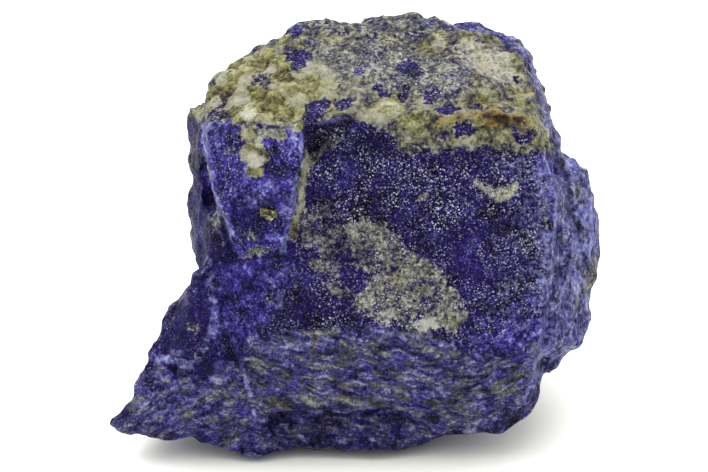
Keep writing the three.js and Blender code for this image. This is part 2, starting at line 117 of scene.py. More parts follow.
BAND = [
    (-11.1, -10.2), (-5.4, -9.6), (2.6, -9.0), (8.6, -10.4), (12.6, -12.6), (16.6, -11.6), (18.8, -10.4),
    (18.2, -15.2), (17.0, -17.0), (14.6, -18.2), (11.6, -19.4), (8.6, -20.3), (6.6, -18.8), (4.1, -17.8),
    (-3.4, -17.5), (-6.9, -17.8), (-9.6, -19.4), (-10.4, -16.9), (-11.0, -14.2),
]
FOOT = [
    (-21.2, -12.6), (-14.9, -14.2), (-11.4, -12.4), (-10.3, -17.6), (-9.6, -22.6), (-15.4, -22.4),
    (-24.2, -20.6), (-26.0, -18.4), (-22.4, -15.6),
]
SHIELD = [
    (-15.6, 11.6), (-4.7, 11.4), (-5.3, 7.1), (-6.2, 2.1), (-7.1, -1.6), (-11.4, -2.6), (-13.2, 1.4),
    (-15.2, 6.4),
]
WAIST = [
    (-14.9, -2.6), (-11.4, -2.6), (-7.0, -1.6), (-5.8, -5.4), (-9.2, -9.4), (-11.4, -12.2), (-14.9, -11.2),
    (-14.6, -6.4),
]
BLUE_CORNER = [
    (11.6, -11.6), (12.6, -8.2), (15.6, -6.4), (19.1, -5.4), (19.4, -8.4), (18.6, -10.9), (15.6, -12.0),
]
RIDGE_RIGHT = [
    (18.6, 8.4), (20.6, 7.9), (21.3, 6.0), (21.0, 3.1), (20.2, 1.6), (19.2, 2.1), (18.4, 4.6), (18.0, 6.8),
]
CROWN_RIGHT = [
    (8.5, 21.6), (12.7, 22.2), (16.5, 20.6), (18.4, 18.8), (19.2, 15.8), (21.0, 11.8), (21.0, 10.4),
    (19.7, 10.2), (18.7, 13.8), (17.3, 17.2), (14.6, 19.4), (10.0, 20.6),
]
GREY_SLOPE = [
    (-4.4, 19.4), (2.0, 20.0), (6.0, 18.8), (11.6, 17.8), (11.8, 14.2), (8.4, 13.4), (5.6, 15.2),
    (2.0, 14.6), (-1.4, 16.4),
]
OLIVE_FLANK = [(-14.6, 3.1), (-12.8, 2.9), (-12.4, 0.2), (-13.2, -0.8), (-14.4, 0.6)]
LEFT_SHOULDER = [
    (-17.6, 11.4), (-17.0, 14.2), (-15.8, 16.4), (-13.4, 18.6), (-10.2, 20.4), (-7.4, 21.4), (-6.8, 20.2),
    (-13.0, 17.0), (-15.2, 13.0),
]
MAIN_FACE = [
    (-5.0, 8.8), (-3.4, 10.8), (1.4, 11.2), (5.2, 8.6), (18.6, 8.4), (19.6, 4.4), (19.4, -3.8),
    (18.6, -9.0), (12.4, -11.4), (8.0, -10.0), (2.0, -9.0), (-5.6, -9.8), (-9.6, -10.2), (-6.4, -6.0),
    (-5.6, -1.0), (-5.2, 4.0),
]

# The curves along which the stone's layers and folds are drawn out.
FLOW_LINES = [
    [
        (-25.0, -18.4), (-20.4, -15.6), (-16.0, -14.2), (-12.2, -12.9), (-8.4, -13.6), (-3.0, -14.9),
        (3.0, -15.4), (8.6, -16.0), (13.0, -15.4), (18.4, -13.2),
    ],
    [(-8.8, -1.0), (-11.6, -4.4), (-12.8, -7.6), (-12.2, -12.9)],
    [(19.6, 9.0), (20.8, 4.2), (20.6, -2.0), (19.6, -8.6), (18.4, -13.2)],
    [(-14.8, 15.4), (-9.0, 20.4), (2.6, 21.6), (12.4, 21.0), (17.6, 18.2), (20.2, 10.4)],
    [(-15.8, 12.0), (-15.6, 4.0), (-14.6, -3.0), (-15.2, -9.4), (-18.4, -12.6)],
]

# Ridges bruised pale, and cracks darkened partly in their own colour and partly with painted shade: half
# width in mm, strength, and the places they pass.
RIGHT_RIDGE = [
    (19.1, 8.6), (20.1, 4.6), (20.3, -0.4), (19.8, -5.4), (19.2, -9.4), (18.4, -12.9), (17.4, -16.4),
]
SPUR_RIDGE = [(-14.9, -2.4), (-14.2, -5.4), (-13.9, -8.9), (-15.1, -11.4), (-16.4, -12.9), (-20.4, -12.2)]
RIDGES = [
    (0.30, 1.0, RIGHT_RIDGE),
    (1.40, 0.50, [(18.6, -4.4), (18.4, -6.4), (17.6, -9.4)]),
    (1.60, 0.42, [(18.4, 8.0), (18.9, 5.4), (18.7, 1.4), (18.4, -3.4)]),
    (2.20, 0.38, [(15.8, 7.4), (16.4, 2.0), (16.2, -4.0), (15.4, -8.0)]),
    (0.30, 0.7, [(17.4, -16.4), (16.1, -17.4), (12.6, -18.9), (9.8, -20.1)]),
    (0.45, 1.0, [(-5.4, 11.4), (-5.1, 8.6), (-5.8, 4.6), (-6.4, 1.1), (-7.1, -1.4)]),
    (0.45, 0.9, [(-12.9, 11.5), (-15.1, 10.9), (-14.5, 6.6), (-13.3, 2.1), (-12.2, -0.4)]),
    (0.80, 0.6, [(-14.6, 10.6), (-12.4, 10.9), (-11.0, 10.2)]),
    (0.90, 0.5, [(-11.4, 3.6), (-9.4, 3.9), (-6.8, 4.2)]),
    (0.50, 0.9, SPUR_RIDGE),
    (0.30, 0.8, [(-11.2, -12.6), (-10.4, -16.4), (-10.0, -18.9)]),
    (0.50, 0.6, [(-5.9, -11.1), (1.6, -9.9), (7.0, -10.2), (9.8, -11.4)]),
    (0.60, 0.6, [(-10.0, -3.4), (-8.2, -5.0), (-7.4, -7.4)]),
    (0.60, 0.5, [(10.4, -11.0), (14.6, -12.4), (17.6, -11.4)]),
    (0.35, 0.6, [(-18.4, -16.6), (-16.6, -15.2), (-14.0, -15.8)]),
]
DARK_AND_SHADED_CRACKS = [
    (0.35, 1.0, [(-12.9, -10.2), (-12.6, -11.6), (-11.3, -12.8)]),
    (0.30, 0.7, [(-4.6, 8.6), (-4.1, 10.2), (-2.4, 11.0), (0.2, 11.4)]),
    (0.30, 0.8, [(-13.4, 1.9), (-13.1, 0.2), (-12.4, -1.9)]),
    (0.20, 0.8, [(12.8, 12.2), (15.0, 11.0), (17.6, 10.5)]),
    (0.25, 0.5, [(-21.4, -14.4), (-19.4, -15.2), (-17.9, -16.4)]),
    (0.15, 0.6, [(-3.4, 17.9), (0.2, 15.4), (2.0, 13.6)]),
    (0.15, 0.5, [(-5.2, 17.4), (-2.0, 15.0)]),
    (0.20, 0.6, [(8.4, -13.4), (10.8, -13.8), (12.6, -14.2)]),
]

# Rounded spots: right, up, half width, half height, in mm, then the turn in degrees and how strong it is.
LAZURITE_SPOTS = [
    (-5.8, 17.9, 1.4, 1.0, 0, 1.0),
    (-3.6, 13.0, 1.1, 0.9, 0, 1.0),
    (-1.3, 13.4, 0.9, 0.7, 0, 1.0),
    (-4.2, 11.9, 0.9, 0.6, 0, 0.9),
    (5.5, 16.9, 1.4, 1.0, -30, 1.0),
    (2.9, 14.6, 1.1, 0.6, -25, 1.0),
    (4.9, 14.5, 0.5, 0.9, 0, 1.0),
    (7.8, 14.1, 1.1, 0.6, 20, 1.0),
    (9.4, 12.9, 1.2, 0.5, 0, 1.0),
    (12.1, 12.9, 0.6, 0.5, 0, 0.9),
    (10.8, 10.7, 0.9, 0.7, 0, 0.9),
    (16.9, 10.3, 1.1, 0.9, -20, 1.0),
    (16.3, 15.9, 0.4, 0.5, 0, 0.8),
    (15.4, 14.1, 0.5, 0.6, 0, 0.6),
    (-9.2, 15.8, 1.1, 0.9, 0, 0.6),
    (-7.6, 20.2, 0.8, 0.3, 15, 0.8),
    (-10.5, 18.2, 0.7, 0.3, 35, 0.8),
    (0.6, 16.8, 0.8, 0.6, 0, 0.6),
    (4.1, 20.3, 4.5, 0.7, 0, 0.5),
    (-13.1, 13.6, 0.9, 0.5, 50, 0.8),
    (-13.8, 12.3, 1.2, 0.5, 10, 0.7),
]
CALCITE_SPOTS = [
    (-10.4, 10.0, 1.7, 0.9, 0, 0.8),
    (-8.2, 10.3, 1.5, 0.7, 0, 0.7),
    (-10.0, 8.2, 1.6, 1.3, 0, 1.0),
    (-9.9, 6.3, 1.3, 0.9, 0, 0.9),
    (-3.2, 8.7, 0.4, 2.0, -40, 0.9),
    (-12.4, 8.4, 0.8, 0.5, 0, 0.5),
    (-10.4, -0.1, 1.1, 0.4, -35, 0.8),
    (-9.8, -1.6, 1.7, 0.45, 22, 0.9),
    (-2.0, -9.7, 0.5, 0.6, 0, 0.7),
    (-16.2, -9.2, 0.7, 0.6, 0, 0.6),
    (-8.6, -6.4, 0.6, 0.5, 0, 0.6),
    (-13.7, 1.6, 0.7, 1.6, -20, 0.5),
    (23.9, -4.2, 0.7, 1.7, -15, 0.9),
    (-2.2, 9.3, 0.6, 0.9, -35, 0.9),
]
WHITE_SPOTS = [
    (-10.5, 12.1, 1.0, 0.8, 0, 1.0),
    (-9.4, 9.7, 0.9, 0.6, 0, 0.7),
    (-9.8, 7.6, 1.0, 0.9, 0, 0.8),
    (-4.6, 7.0, 0.5, 1.0, 0, 0.7),
    (-5.1, 4.2, 0.5, 1.3, 0, 0.7),
    (-5.3, 1.6, 0.5, 1.0, 0, 0.6),
    (7.4, -9.0, 1.1, 0.8, 0, 0.9),
    (11.0, -8.2, 0.8, 1.2, 20, 0.5),
    (3.4, -8.2, 1.1, 0.8, 0, 0.7),
    (14.0, 17.6, 1.8, 1.0, -30, 0.6),
    (11.6, 19.2, 2.0, 0.6, 0, 0.6),
]
RUST_SPOTS = [
    (13.9, 11.6, 0.9, 0.7, -20, 1.0),
    (16.4, 11.2, 1.5, 0.6, -20, 1.0),
    (13.2, 17.2, 0.8, 0.7, 0, 0.6),
    (1.6, 16.0, 0.4, 0.5, 0, 0.8),
    (4.3, -4.2, 0.7, 0.8, 0, 0.6),
    (-14.7, 12.9, 0.6, 0.4, 30, 0.8),
    (-6.0, 14.6, 0.7, 0.5, 0, 0.5),
    (-12.4, 17.0, 1.6, 0.6, 40, 0.4),
]
# Dark spots, partly the stone's own dark specks and the rust's dark middle, partly painted shade in hollows,
# in recesses and under the cap's lip.
DARK_AND_SHADE_SPOTS = [
    (13.3, 12.1, 0.8, 0.6, -30, 1.0),
    (14.7, 11.5, 1.1, 0.5, -20, 1.1),
    (16.4, 11.3, 0.7, 0.3, -20, 0.9),
    (-9.0, 1.4, 2.6, 1.3, 0, 0.7),
    (-12.8, -10.1, 0.45, 0.8, 25, 0.9),
    (-11.8, -11.6, 0.3, 1.2, 35, 0.6),
    (-2.4, 10.2, 2.4, 0.8, 25, 0.9),
    (0.4, 9.0, 3.2, 1.5, 0, 0.7),
    (12.4, -1.6, 4.6, 3.6, 0, 0.25),
    (-1.6, 4.6, 2.6, 2.6, 0, 0.25),
    (-2.6, -0.6, 2.6, 2.8, 0, 0.35),
    (-2.8, -7.4, 2.6, 2.0, 0, 0.35),
    (-13.4, 8.6, 1.4, 2.0, 8, 0.45),
    (-7.9, 7.2, 1.2, 2.2, -5, 0.55),
    (-13.2, -5.0, 0.9, 1.8, 20, 0.5),
    (-11.2, -8.0, 1.1, 0.7, 0, 0.5),
    (-8.6, -12.6, 1.6, 0.6, -25, 0.6),
    (-11.6, 5.2, 0.9, 0.8, 0, 0.35),
    (-23.6, -18.2, 1.6, 1.0, -10, 0.7),
    (-16.4, -17.2, 1.1, 0.5, 0, 0.5),
    (9.2, -13.3, 1.2, 0.2, -10, 0.8),
    (12.6, -14.1, 0.5, 0.15, 0, 0.9),
    (18.6, 1.2, 0.8, 1.3, 0, 0.6),
    (-18.2, -9.8, 0.9, 1.6, -10, 0.5),
]

# Where the pyrite sits: right and up of the face's middle, and how wide each grain is, in mm.
PYRITE_GRAINS = [(-8.6, 2.5, 1.9), (-10.9, 3.0, 0.34)]
CUBES_IN_GRAIN = 60
CUBE_SHARE = (0.14, 0.30)  # of the grain's width
CUBE_BEVEL = 0.02

# Sizes of the broken surface, in mm.
LUMP_WIDTH = 1.7
LUMP_SEED = 7
CHIP_WIDTH = 2.4
GRIT_HEIGHT = 0.06
CALCITE_RISE = 0.08
HOLLOW_DEPTH = 0.30
SET_BACK = 0.16  # of the whole surface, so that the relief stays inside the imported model
LAYER_LENGTH = 2.0
LAYER_WIDTH = 0.52

# How often the plain solid's places and normals are averaged, which rounds its facets off.
ROUNDS_OF_SMOOTHING = 9
ROUNDS_OF_FACING = 6

# How widely the surface is averaged to find what stands proud of it: rounds, and how far that is, in mm.
PROUD_SCALES = [(4, 0.06), (30, 0.24)]

# Where the light comes from.
LAMP_WAY = Vector((-0.10, 0.12, 0.98))
LAMP_SPREAD = math.radians(70)
ROOM_WAY = (-0.10, 0.28, 0.95)


def linear(code):
    """The linear red, green and blue of an sRGB hex colour."""
    parts = [int(code[i : i + 2], 16) / 255 for i in (1, 3, 5)]
    return tuple(c / 12.92 if c <= 0.04045 else ((c + 0.055) / 1.055) ** 2.4 for c in parts)


def colour_property(name, description, code):
    """A colour that the sidebar shows, with an sRGB hex default."""
    return bpy.props.FloatVectorProperty(
        name=name, description=description, default=linear(code), subtype="COLOR", min=0, max=1
    )


def length_property(name, description, size):
    """A length that the sidebar shows, with a default in mm."""
    return bpy.props.FloatProperty(
        name=name, description=description, default=size * MM, min=0, unit="LENGTH", precision=5
    )


class LapisStoneSettings(bpy.types.PropertyGroup):
    """Sizes and colours of the stone."""

    mesh_size: length_property("Mesh size", "Width of one face of the stone's mesh", 0.32)
    swell_height: length_property("Swell height", "How far the broken surface swells in and out", 0.40)
    chip_height: length_property("Chip height", "How far the small chipped facets tilt in and out", 0.45)
    lump_height: length_property("Lump height", "How far the calcite's rounded lumps stand up", 0.38)
    layer_height: length_property("Layer height", "How far the folds and layers stand up", 0.30)
    grain_width: length_property("Grain width", "Width of one grain of lazurite", 0.22)
    night: colour_property("Night blue", "The darkest lazurite grains", "#040210")
    deep: colour_property("Deep blue", "Most lazurite grains", "#170d44")
    royal: colour_property("Royal blue", "Bright lazurite grains", "#322878")
    powder: colour_property("Powder blue", "Lazurite bruised pale along its ridges", "#6a6ea8")
    # Frost is also the colour of the painted glints: highlights painted onto grains whose faces would flash.
    frost_and_glint: colour_property("Frost", "Grains whose faces flash", "#c4c4d8")
    slate: colour_property("Slate blue", "The layered band", "#35366a")
    khaki: colour_property("Khaki", "The band's mineral seams", "#6c6c54")
    calcite_grey: colour_property("Grey calcite", "Granular calcite on the big face", "#565754")
    calcite_cream: colour_property("Cream calcite", "Waxy calcite of the cap", "#827f54")
    calcite_white: colour_property("White calcite", "The cleanest lumps of calcite", "#adab9e")
    rust: colour_property("Rust", "Iron stain", "#7c6236")
    rust_dark: colour_property("Dark rust", "The middle of the iron stain", "#2c180c")


class LapisPyriteSettings(bpy.types.PropertyGroup):
    """Colours of the pyrite."""

    brass: colour_property("Brass", "Fresh faces of the pyrite", "#928a68")
    tarnish: colour_property("Tarnish", "Dull faces of the pyrite", "#3a362a")


class LapisStageSettings(bpy.types.PropertyGroup):
    """The table and the light."""

    table_width: length_property("Table width", "Width of the white table", 6000)
    sky: bpy.props.FloatProperty(name="Room", description="Strength of the soft white room", default=1.1)
    sun: bpy.props.FloatProperty(name="Lamp", description="Strength of the soft lamp", default=2.0)


def per_mm(size):
    """A texture scale whose pattern repeats about once in that many mm."""
    return 1 / (size * MM)


def node(tree, kind, sockets=(), stops=(), **settings):
    """Adds a shader node with its settings, its sockets' values or links, and a ramp's stops."""
    made = tree.nodes.new("ShaderNode" + kind)
    for name, value in settings.items():
        setattr(made, name, value)
    for key, value in dict(sockets).items():
        socket = made.inputs[key]
        if isinstance(value, bpy.types.NodeSocket):
            tree.links.new(value, socket)
        elif socket.type == "RGBA":
            socket.default_value = (*value[:3], 1)
        else:
            socket.default_value = value
    if stops:
        elements = made.color_ramp.elements
        while len(elements) < len(stops):
            elements.new(1.0)
        for element, (place, colour) in zip(elements, stops):
            element.position = place
            element.color = (*colour, 1.0)
    return made


def shade(colour, by):
    """A colour made lighter or darker by a factor."""
    return tuple(min(1.0, c * by) for c in colour)


def between(first, second, share):
    """A colour part of the way from one to another."""
    return tuple(a + (b - a) * share for a, b in zip(first, second))


def smooth_step(values, low, high):
    """From 0 below low to 1 above high, with soft ends."""
    t = np.clip((values - low) / (high - low), 0, 1)
    return t * t * (3 - 2 * t)


def on_face(points):
    """Places in metres as mm right of, above and in front of the big face's middle."""
    away = (points - np.array(FACE_MIDDLE)) / MM
    return np.stack([away @ FACE_X, away @ FACE_Y, away @ FACE_Z], axis=1)


def noise_at(points, size, seed, octaves=2.0):
    """Smooth noise of each place, from about -1 to 1, with swells about that many mm wide."""
    shift = Vector((seed, seed * 1.7, -seed))
    return np.array([noise.fractal(Vector(p) / size + shift, 0.7, 2.1, octaves) for p in points])


def distance_to(flat, corners):
    """How far each place lies from a line of straight pieces, in mm."""
    nearest = np.full(len(flat), 1e9)
    for start, end in zip(corners, corners[1:]):
        edge = end - start
        along = np.clip(((flat - start) @ edge) / (edge @ edge), 0, 1)
        nearest = np.minimum(nearest, np.linalg.norm(flat - start - along[:, None] * edge, axis=1))
    return nearest


def depth_inside(flat, outline):
    """How far each place lies inside an outline, in mm, and less than 0 outside."""
    corners = np.array([*outline, outline[0]])
    inside = np.zeros(len(flat), bool)
    for start, end in zip(corners, corners[1:]):
        crosses = (start[1] > flat[:, 1]) != (end[1] > flat[:, 1])
        rise = (end[1] - start[1]) or 1e-9
        inside ^= crosses & (flat[:, 0] < start[0] + (flat[:, 1] - start[1]) * (end[0] - start[0]) / rise)
    nearest = distance_to(flat, corners)
    return np.where(inside, nearest, -nearest)


def lines(flat, marks):
    """The strength of the strongest line at each place."""
    result = np.zeros(len(flat))
    for half_width, strength, places in marks:
        reach = distance_to(flat, np.array(places)) / half_width
        result = np.maximum(result, strength * smooth_step(1.6 - reach, 0, 1.2))
    return result


def patch(flat, outline, softness=0.5):
    """1 inside an outline and 0 outside, softly."""
    return smooth_step(depth_inside(flat, outline), -softness, softness)


def spots(flat, marks, softness=0.45):
    """The strength of the strongest rounded spot at each place."""
    result = np.zeros(len(flat))
    for right, up, half_width, half_height, turn, strength in marks:
        c, s = math.cos(math.radians(turn)), math.sin(math.radians(turn))
        x, y = flat[:, 0] - right, flat[:, 1] - up
        reach = np.hypot((x * c + y * s) / half_width, (y * c - x * s) / half_height)
        depth = (1 - reach) * min(half_width, half_height)
        result = np.maximum(result, strength * smooth_step(depth, -softness * 0.6, softness * 0.6))
    return result


class Surface:
    """The stone's mesh as arrays, for moving its vertices and marking them."""

    def __init__(self, mesh):
        self.mesh = mesh
        count = len(mesh.vertices)
        flat = np.zeros(count * 3, np.float32)
        mesh.vertices.foreach_get("co", flat)
        self.points = flat.reshape(-1, 3).astype(float)
        ends = np.zeros(len(mesh.edges) * 2, np.int32)
        mesh.edges.foreach_get("vertices", ends)
        self.edges = ends.reshape(-1, 2)
        self.valence = np.bincount(ends, minlength=count)[:, None]

    def relaxed(self, values, rounds):
        """Values averaged with their neighbours' that many times."""
        a, b = self.edges.T
        count = len(values)
        for _ in range(rounds):
            sums = [np.bincount(a, c[b], count) + np.bincount(b, c[a], count) for c in values.T]
            values = (values + np.stack(sums, axis=1) / self.valence) / 2
        return values

    def store(self):
        """Writes the moved places back to the mesh."""
        self.mesh.vertices.foreach_set("co", self.points.astype(np.float32).ravel())
        self.mesh.update()

    def normals(self):
        """The outward direction at each vertex."""
        flat = np.zeros(len(self.points) * 3, np.float32)
        self.mesh.vertex_normals.foreach_get("vector", flat)
        return flat.reshape(-1, 3).astype(float)

    def mark(self, name, values):
        """Keeps a value from 0 to 1 for each vertex under a name that the material reads."""
        layer = self.mesh.attributes.new(name, "FLOAT", "POINT")
        layer.data.foreach_set("value", np.clip(values, 0, 1).astype(np.float32))

    def mark_places(self, name, places):
        """Keeps a place for each vertex under a name that the material reads."""
        layer = self.mesh.attributes.new(name, "FLOAT_VECTOR", "POINT")
        layer.data.foreach_set("vector", places.astype(np.float32).ravel())


def remeshed_stone(size):
    """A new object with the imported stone's shape in small even faces."""
    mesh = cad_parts[NODE].data.copy()
    mesh.materials.clear()
    merged = bmesh.new()
    merged.from_mesh(mesh)
    bmesh.ops.remove_doubles(merged, verts=merged.verts, dist=0.001 * MM)
    merged.to_mesh(mesh)
    merged.free()
    rough = bpy.data.objects.new("rough", mesh)
    bpy.context.collection.objects.link(rough)
    remesh = rough.modifiers.new("Remesh", "REMESH")
    remesh.mode = "VOXEL"
    remesh.voxel_size = size
    bpy.context.view_layer.update()
    evaluated = rough.evaluated_get(bpy.context.evaluated_depsgraph_get())
    even = bpy.data.meshes.new_from_object(evaluated)
    bpy.data.objects.remove(rough)
    stone = bpy.data.objects.new("lapis_stone", even)
    bpy.context.collection.objects.link(stone)
    return stone


class Regions:
    """Where each vertex lies on the big face, with the regions and the noise that several marks share."""

    def __init__(self, points, facing):
        place = on_face(points)
        wander = [noise_at(place, 1.6, seed=seed, octaves=3.0) for seed in (3.0, 9.0)]
        self.place = place
        self.flat = place[:, :2] + 0.5 * np.stack(wander, axis=1)
        self.near = place[:, :2] + 0.16 * np.stack(wander, axis=1)
        self.height = points[:, 2] / MM
        self.front = smooth_step(facing, -0.12, 0.2)
        self.cloud = noise_at(place, 6.0, seed=21.0, octaves=3.0)
        self.blotch = noise_at(place, 1.8, seed=33.0, octaves=3.0)
        self.crown = smooth_step(place[:, 1], 20.3, 21.0)
        self.rightward = smooth_step(place[:, 0], 20.2, 20.9)
        self.leftward = smooth_step(-place[:, 0], 15.2, 16.0)
        self.below = smooth_step(-place[:, 1], 16.5, 18.0)
        self.cap = self.inside(CAP, 0.6)
        self.main_face = self.inside(MAIN_FACE, 0.8)
        self.grey_slope = self.inside(GREY_SLOPE, 1.0)
        self.dim_patch = self.inside(FACE_PATCH_DIM, 0.9)
        self.crown_right = self.inside(CROWN_RIGHT, 0.7)
        self.waist = self.inside(WAIST, 0.8)
        self.shield = self.inside(SHIELD, 0.4)
        self.foot = self.inside(FOOT, 0.9)
        self.lazurite = spots(self.flat, LAZURITE_SPOTS, 0.7)
        self.ridges = lines(self.near, RIDGES)

    def inside(self, outline, softness=0.5):
        """1 inside an outline whose edge wanders, and 0 outside."""
        return patch(self.flat, outline, softness)

    def traced(self, outline, softness=0.5):
        """1 inside an outline that is followed closely, and 0 outside."""
        return patch(self.near, outline, softness)

    def joined(self, shown, hidden=0.0):
        """The strongest of a mark's parts on the side that is seen, and its own value on the hidden sides."""
        return self.front * np.maximum.reduce(shown) + (1 - self.front) * hidden


def calcite_mark(at):
    """Calcite: the cap, the seam, the patches and flecks of the big face, and clouds of it on the back."""
    whole = 1 - 0.35 * smooth_step(-at.blotch, 0.25, 0.7)
    thinned = (1 - 0.28 * at.inside(CAP_STRIP, 0.6)) * (1 - 0.08 * at.grey_slope)
    shown = [
        at.cap * whole * (1 - at.lazurite) * thinned,
        at.inside(LEFT_SHOULDER) * (0.75 + 0.5 * at.blotch),
        at.crown * smooth_step(-at.place[:, 0], -11.0, -8.0) * (0.64 + 0.5 * at.blotch),
        at.traced(WALL_SEAM, 0.4) * 0.95,
        at.inside(FACE_PATCH, 0.9) * (0.88 + 0.45 * at.blotch),
        at.dim_patch * (0.52 + 0.5 * at.blotch),
        at.traced(FACE_PATCH_LEFT, 0.4) * 0.75,
        at.inside(FACE_PATCH_FOOT, 0.4) * 0.7,
        at.traced(FLECK, 0.3) * 1.1,
        at.traced(SMALL_FLECK, 0.2) * 0.9,
        at.traced(EDGE_FLECK, 0.3) * 0.6,
        spots(at.flat, CALCITE_SPOTS) * 0.9,
    ]
    return at.joined(shown, smooth_step(at.cloud + 0.035 * (at.height - 26), 0.12, 0.34))


def cream_mark(at):
    """Calcite that is waxy and cream, where the rest is grey and granular."""
    shown = [
        at.inside(CAP_CREAM, 0.9),
        at.cap * (0.55 + 0.5 * at.blotch) * (1 - 0.8 * at.grey_slope),
        spots(at.flat, CALCITE_SPOTS[:4]) * 0.9,
        at.traced(FLECK) * 0.5,
        at.inside(FACE_PATCH) * 0.2,
        at.traced(WALL_SEAM) * 0.8,
    ]
    return at.joined(shown, smooth_step(at.blotch, -0.3, 0.5))


def white_mark(at):
    """The cleanest calcite."""
    return at.joined([
        spots(at.flat, WHITE_SPOTS, 0.8),
        at.inside(CAP_PALE, 0.9) * 0.6,
        at.traced(FLECK, 0.2) * 0.5,
    ])


def rust_mark(at):
    """Iron stain."""
    return at.joined([
        at.inside(RUST_LINE) * (0.75 + 0.5 * at.blotch),
        spots(at.flat, RUST_SPOTS) * 0.65,
    ])


def dark_and_painted_shade_mark(at):
    """Dark places: the stone's own dark specks, its dim patch and lazurite islands and the rust's dark
    middle, and painted shade in hollows, cracks and under the cap's lip.
    """
    return at.joined([
        spots(at.near, DARK_AND_SHADE_SPOTS),
        lines(at.near, DARK_AND_SHADED_CRACKS),
        at.lazurite * 0.35,
        at.dim_patch * 0.40,
    ])


def streak_mark(at):
    """Layered slate blue: the band, the foot, the crest and the flanks."""
    band = np.maximum(at.inside(BAND, 0.7), 0.72 * at.foot)
    shown = [
        band * (0.9 + 0.5 * at.blotch),
        at.crown * 0.5,
        at.inside(OLIVE_FLANK) * 0.6,
        at.crown_right * 0.75,
        at.rightward * 0.65,
        at.below * 0.45,
    ]
    layered = noise_at(at.place, 9.0, seed=45.0)
    return at.joined(shown, 0.8 * smooth_step(layered, -0.05, 0.25))


def violet_mark(at):
    """Lazurite that is brighter and bruised."""
    shown = [
        at.shield,
        at.waist * 0.55,
        at.inside(BLUE_CORNER, 1.2) * 0.8,
        at.inside(RIDGE_RIGHT, 0.7) * 0.9,
        at.rightward * 0.5,
        at.leftward * 0.15,
        at.below * 0.35,
        at.foot * 0.7,
    ]
    return at.joined(shown, 0.5 + 0.5 * at.cloud)


def haze_mark(at):
    """Powder blue on ridges and dusty flanks."""
    shown = [
        at.ridges * (0.60 + 0.6 * at.blotch),
        at.crown_right * 0.35,
        at.rightward * (0.52 + 0.6 * at.blotch),
        smooth_step(at.place[:, 0], 17.4, 18.8) * (0.42 + 0.5 * at.blotch),
        at.leftward * 0.3 * at.blotch,
        at.crown * 0.35,
    ]
    return at.joined(shown, 0.16 + 0.6 * at.cloud)


def painted_glint_mark(at):
    """Where painted glints show on the grains, most of all on the big face and least along its bruised
    ridges.
    """
    bare = 1 - 0.8 * at.ridges * (1 - at.main_face)
    shown = np.maximum.reduce([
        at.main_face * (1 - 0.5 * at.dim_patch),
        at.shield * 0.55,
        at.grey_slope * 0.80,
        at.lazurite * 0.70,
        at.cap * 0.22,
        at.waist * 0.30,
        at.leftward * 0.25,
        np.full(len(bare), 0.12),
    ])
    return at.joined([shown * bare], 0.6 * smooth_step(at.blotch + at.cloud, -0.2, 0.6))


def craggy_mark(at):
    """Where the surface is chipped most, and drawn out in folds."""
    return np.maximum.reduce([
        at.inside(WAIST, 1.5),
        at.inside(FOOT, 1.5),
        at.leftward,
        at.rightward,
        at.inside(BAND) * 0.5,
        1 - at.front,
    ])


# Each mineral and finish, the painted shade and painted glints among them, and what says where it shows.
MARKS = {
    "calcite": calcite_mark,
    "cream": cream_mark,
    "white": white_mark,
    "rust": rust_mark,
    "dark": dark_and_painted_shade_mark,
    "streak": streak_mark,
    "violet": violet_mark,
    "haze": haze_mark,
    "painted_glint_share": painted_glint_mark,
}


def layer_flow(place):
    """Places whose noise is drawn out along the curves that the layers and folds follow."""
    away = np.minimum.reduce([distance_to(place[:, :2], np.array(places)) for places in FLOW_LINES])
    away += 0.5 * noise_at(place, 2.6, seed=61.0)
    x, y, z = place.T
    along = (x + 0.7 * z) / LAYER_LENGTH, (y - 0.6 * z) / LAYER_LENGTH
    return np.stack([*along, away / LAYER_WIDTH + z / 3.0], axis=1)


def calcite_lumps(place, calcite):
    """How high each place stands on its rounded lump of calcite, and a value of each lump's own."""
    noise.seed_set(LUMP_SEED)
    rise = np.zeros(len(place))
    own = np.full(len(place), 0.5)
    for i in np.flatnonzero(calcite > 0.02):
        here = Vector(place[i])
        distances, middles, *_ = noise.voronoi(here / LUMP_WIDTH + 0.35 * noise.noise_vector(here / 1.3))
        rise[i] = (distances[1] - distances[0]) / 0.5
        own[i] = noise.cell_vector(middles[0] * 9.3).x
    return smooth_step(rise, 0, 1), own


def chipped(here):
    """The height of a surface broken into facets that each tilt their own way and meet in soft edges."""
    distances, middles, *_ = noise.voronoi(here)
    total, share = 0.0, 0.0
    for distance, middle in zip(distances, middles):
        tilt = noise.cell_vector(middle * 9.3) * 2 - Vector((1, 1, 1))
        weight = math.exp((distances[0] - distance) / 0.07)
        total += weight * tilt.dot(here - middle)
        share += weight
    return total / share


def relief(place, marks, craggy, look):
    """How far each place stands out from the plain solid."""
    swell = noise_at(place, 3.2, seed=1.0)
    grit = noise_at(place, 0.7, seed=5.0)
    layers = noise_at(layer_flow(place), 2.4, seed=8.0)
    chips = np.array([chipped(Vector(p) / CHIP_WIDTH) for p in place])
    calcite = smooth_step(marks["calcite"], 0.3, 0.7)
    height = look.swell_height * swell * (0.6 + 0.3 * craggy)
    height += look.chip_height * chips * (0.4 + 0.6 * craggy)
    height += look.lump_height * calcite * (marks["lump"] - 0.5)
    height += look.layer_height * np.maximum(marks["streak"], craggy) * layers
    fine = GRIT_HEIGHT * grit - HOLLOW_DEPTH * marks["dark"] + CALCITE_RISE * calcite
    return height + (fine - SET_BACK) * MM


